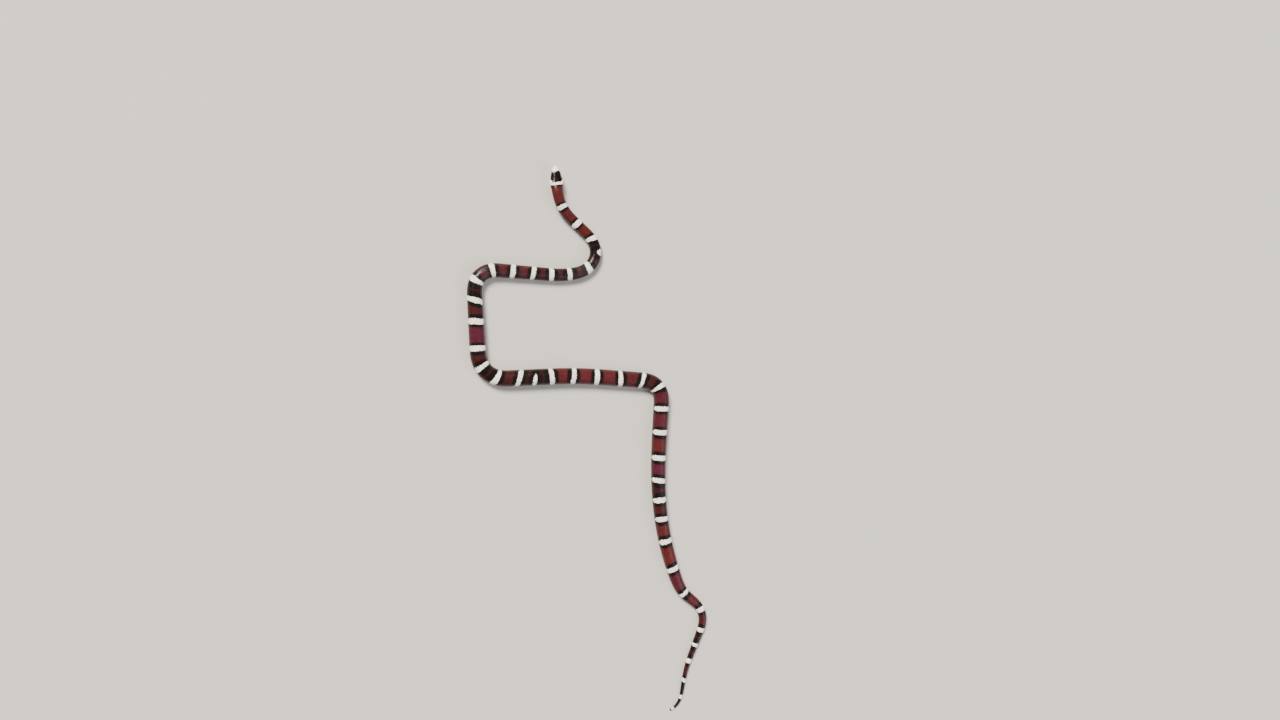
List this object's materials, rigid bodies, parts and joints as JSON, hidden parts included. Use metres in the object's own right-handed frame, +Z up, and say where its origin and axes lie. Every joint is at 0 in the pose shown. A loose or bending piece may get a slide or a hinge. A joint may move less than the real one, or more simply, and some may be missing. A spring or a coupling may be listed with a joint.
{
  "type": "milk snake",
  "caption": "Slender, smooth-scaled banded snake lying in wide bends with its small head a little raised, in dark red, black and white rings, as a still, life-size model.",
  "frame": {"origin": "centre of the snake's footprint, on the floor", "axes": "+Y from the tail end towards the head end, the longest way; +Z up from the floor; +X completes a right-handed frame, towards the bends of the tail"},
  "size_m": [0.1612, 0.3548, 0.0094],
  "materials": {
    "skin": "smooth glossy scales, dark red rings between black-edged white rings",
    "head": "glossy head shields, black cap between a white snout and a white collar",
    "eye": "clear, wet gloss over a black eye"
  },
  "bodies": {
    "root": {"head": "head", "eye_left": "eye", "eye_right": "eye", "neck": "skin", "trunk_1": "skin", "trunk_2": "skin", "trunk_3": "skin", "trunk_4": "skin", "trunk_5": "skin", "trunk_6": "skin", "trunk_7": "skin", "tail_1": "skin", "tail_2": "skin"}
  },
  "joints": []
}
